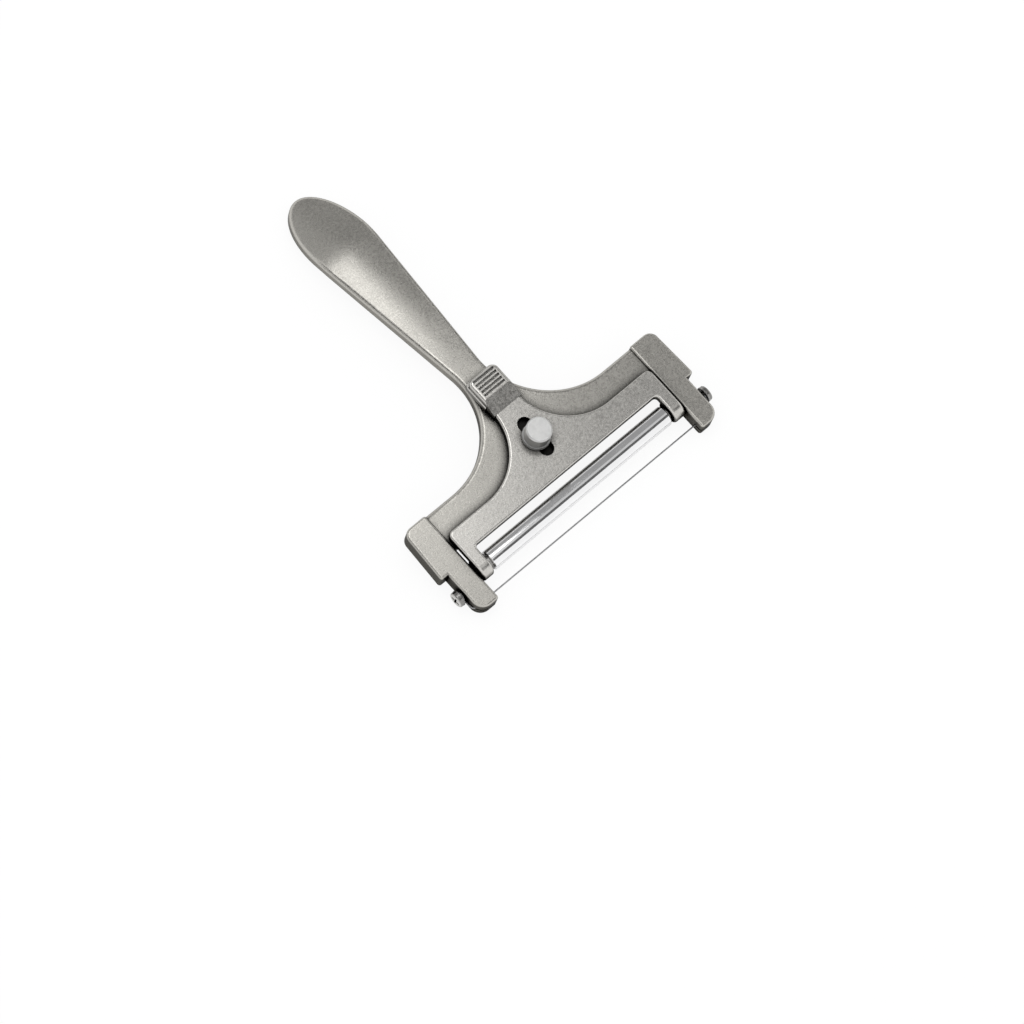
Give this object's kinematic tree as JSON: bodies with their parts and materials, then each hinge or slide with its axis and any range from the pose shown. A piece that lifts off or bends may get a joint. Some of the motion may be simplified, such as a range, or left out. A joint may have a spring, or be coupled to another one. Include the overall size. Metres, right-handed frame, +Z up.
{
  "type": "cheese slicer",
  "caption": "Hand-held wire cheese slicer: cast frame with end blocks and handle, taut wire, sliding plate with roller and thumb pad, clamp knob and tension screws.",
  "frame": {"origin": "middle of the footprint, on the surface that the slicer stands on", "axes": "+X along the cutting wire, +Y from the wire to the handle's end, +Z up on the side of the clamp knob"},
  "size_m": [0.1248, 0.1662, 0.0236],
  "materials": {
    "cast_metal": "satin cast metal, fine pitted skin",
    "plate_metal": "satin cast metal, smoother than the frame",
    "roller_metal": "mirror polish",
    "plug_metal": "turned",
    "axle_metal": "ground pin",
    "wire_metal": "drawn wire",
    "screw_metal": "bright zinc-like finish",
    "washer_metal": "stamped",
    "stud_metal": "turned",
    "knob_metal": "turned, matte face"
  },
  "bodies": {
    "frame": {"frame_casting": "cast_metal", "cutting_wire": "wire_metal", "clamp_stud": "stud_metal"},
    "plate": {"slide_plate": "plate_metal", "roller_axle": "axle_metal"},
    "roller": {"roller_tube": "roller_metal", "roller_plug_left": "plug_metal", "roller_plug_right": "plug_metal"},
    "knob": {"clamp_knob": "knob_metal", "clamp_washer": "washer_metal"},
    "left_screw": {"tension_screw_left": "screw_metal", "screw_washer_left": "washer_metal"},
    "right_screw": {"tension_screw_right": "screw_metal", "screw_washer_right": "washer_metal"}
  },
  "joints": [
    {"name": "plate_slide", "type": "slide", "parent": "frame", "child": "plate", "axis": [0, 0.9937, 0.1122], "range_m": [-0.0044, 0.0057]},
    {"name": "roller_spin", "type": "hinge", "parent": "plate", "child": "roller", "pos_m": [0, -0.07018, 0.0073], "axis": [1, 0, 0], "continuous": true},
    {"name": "knob_turn", "type": "hinge", "parent": "frame", "child": "knob", "pos_m": [0, -0.04758, 0.01528], "axis": [0, -0.1122, 0.9937], "range_deg": [0, 360]},
    {"name": "left_screw_turn", "type": "hinge", "parent": "frame", "child": "left_screw", "pos_m": [-0.06235, -0.07311, 0.00516], "axis": [-1, 0, 0], "range_deg": [-360, 90]},
    {"name": "right_screw_turn", "type": "hinge", "parent": "frame", "child": "right_screw", "pos_m": [0.06235, -0.07311, 0.00516], "axis": [1, 0, 0], "range_deg": [-360, 90]}
  ]
}
